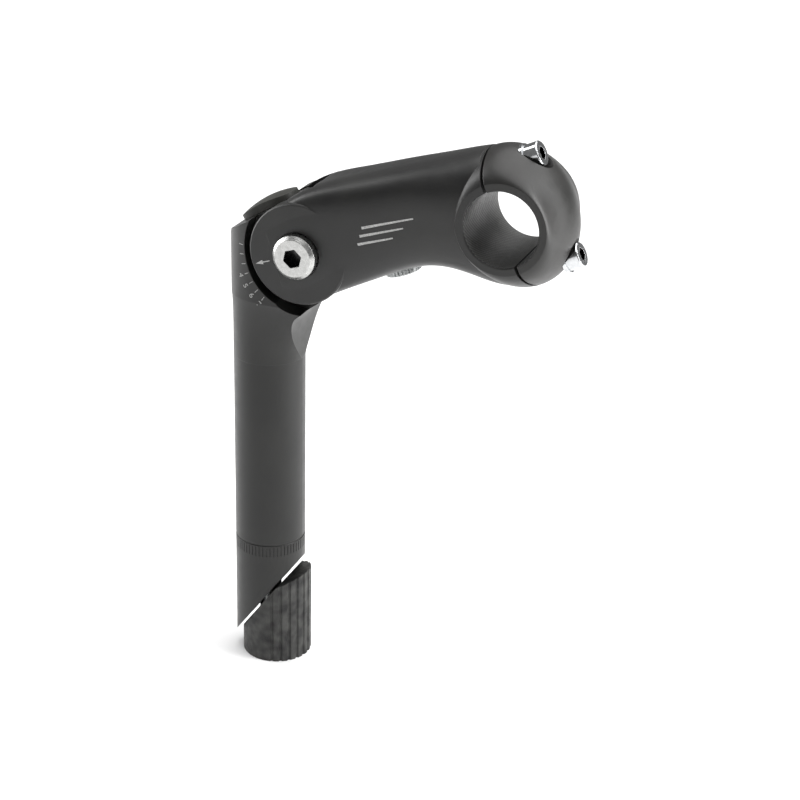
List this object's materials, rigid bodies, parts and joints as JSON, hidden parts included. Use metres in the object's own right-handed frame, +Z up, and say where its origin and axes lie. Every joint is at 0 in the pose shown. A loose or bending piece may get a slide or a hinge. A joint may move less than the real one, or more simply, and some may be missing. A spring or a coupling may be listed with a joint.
{
  "type": "adjustable quill handlebar stem",
  "caption": "Adjustable quill stem: a slanted-wedge quill, a toothed tilting forged arm and a removable faceplate that clamps the handlebar.",
  "frame": {"origin": "on the quill's axis, where the straight shank meets the flared neck", "axes": "+Z up along the quill, +X forward towards the handlebar, +Y to the rider's left, along the bar"},
  "size_m": [0.1261, 0.0402, 0.2083],
  "materials": {
    "quill_black": "satin black anodised",
    "arm_black": "satin black paint over forged alloy",
    "faceplate_black": "satin black paint over forged alloy",
    "cap_plastic": "moulded matte",
    "wedge_cast": "rough cast, dark",
    "bolt_chrome": "polished",
    "bolt_zinc": "zinc plated",
    "pivot_silver": "machined bright",
    "washer_plastic": "acetal",
    "lock_steel": "sintered steel"
  },
  "bodies": {
    "quill": {"quill_body": "quill_black", "expander_washer": "bolt_zinc"},
    "top_cap": {"quill_top_cap": "cap_plastic"},
    "expander_bolt": {"expander_bolt": "bolt_zinc"},
    "expander_nut": {"expander_nut": "bolt_zinc"},
    "expander_wedge": {"expander_wedge": "wedge_cast"},
    "arm": {"stem_arm": "arm_black", "pivot_sleeve_nut": "pivot_silver", "friction_washer_near": "washer_plastic", "friction_washer_far": "washer_plastic", "lock_washer": "bolt_zinc"},
    "pivot_bolt": {"pivot_bolt": "pivot_silver"},
    "lock_bolt": {"lock_bolt": "bolt_zinc"},
    "lock_wedge": {"lock_wedge": "lock_steel"},
    "lock_block": {"lock_block": "lock_steel"},
    "faceplate": {"faceplate": "faceplate_black", "faceplate_washer_upper": "bolt_chrome", "faceplate_washer_lower": "bolt_chrome"},
    "faceplate_bolt_upper": {"faceplate_bolt_upper": "bolt_chrome"},
    "faceplate_bolt_lower": {"faceplate_bolt_lower": "bolt_chrome"}
  },
  "joints": [
    {"name": "arm_tilt", "type": "hinge", "parent": "quill", "child": "arm", "pos_m": [0.01775, 0, 0.044], "axis": [0, -1, 0], "range_deg": [-18, 36]},
    {"name": "cap_lift", "type": "slide", "parent": "quill", "child": "top_cap", "axis": [0, 0, -1], "range_m": [-0.02, 0]},
    {"name": "expander_bolt_spin", "type": "hinge", "parent": "quill", "child": "expander_bolt", "pos_m": [0, 0, 0.03], "axis": [0, 0, 1], "range_deg": [0, 1025]},
    {"name": "expander_nut_travel", "type": "slide", "parent": "quill", "child": "expander_nut", "axis": [0, 0, 1], "range_m": [-0.00356, 0]},
    {"name": "expander_wedge_slide", "type": "slide", "parent": "quill", "child": "expander_wedge", "axis": [0.5906, 0, 0.807], "range_m": [-0.00441, 0]},
    {"name": "pivot_bolt_spin", "type": "hinge", "parent": "arm", "child": "pivot_bolt", "pos_m": [0.01775, 0, 0.044], "axis": [0, -1, 0], "range_deg": [0, 720]},
    {"name": "lock_bolt_spin", "type": "hinge", "parent": "arm", "child": "lock_bolt", "pos_m": [0.04533, 0, 0.05296], "axis": [-0.309, 0, 0.9511], "range_deg": [0, 1113]},
    {"name": "lock_wedge_slide", "type": "slide", "parent": "arm", "child": "lock_wedge", "axis": [0.309, 0, -0.9511], "range_m": [0, 0.00309]},
    {"name": "lock_block_slide", "type": "slide", "parent": "arm", "child": "lock_block", "axis": [-0.9511, 0, -0.309], "range_m": [0, 0.00101]},
    {"name": "faceplate_off", "type": "slide", "parent": "arm", "child": "faceplate", "axis": [0.9026, 0, 0.4305], "range_m": [0, 0.03]},
    {"name": "faceplate_bolt_upper_spin", "type": "hinge", "parent": "faceplate", "child": "faceplate_bolt_upper", "pos_m": [0.0821, 0, 0.07874], "axis": [0.9026, 0, 0.4305], "range_deg": [0, 720]},
    {"name": "faceplate_bolt_lower_spin", "type": "hinge", "parent": "faceplate", "child": "faceplate_bolt_lower", "pos_m": [0.09734, 0, 0.04679], "axis": [0.9026, 0, 0.4305], "range_deg": [0, 720]}
  ],
  "couplings": [
    {"joint": "expander_bolt_spin", "follows": "expander_wedge_slide", "rad_per_m": -4056.2},
    {"joint": "expander_nut_travel", "follows": "expander_wedge_slide", "ratio": 0.80696},
    {"joint": "lock_bolt_spin", "follows": "lock_wedge_slide", "rad_per_m": 6283.2},
    {"joint": "lock_block_slide", "follows": "lock_wedge_slide", "ratio": 0.32492}
  ]
}
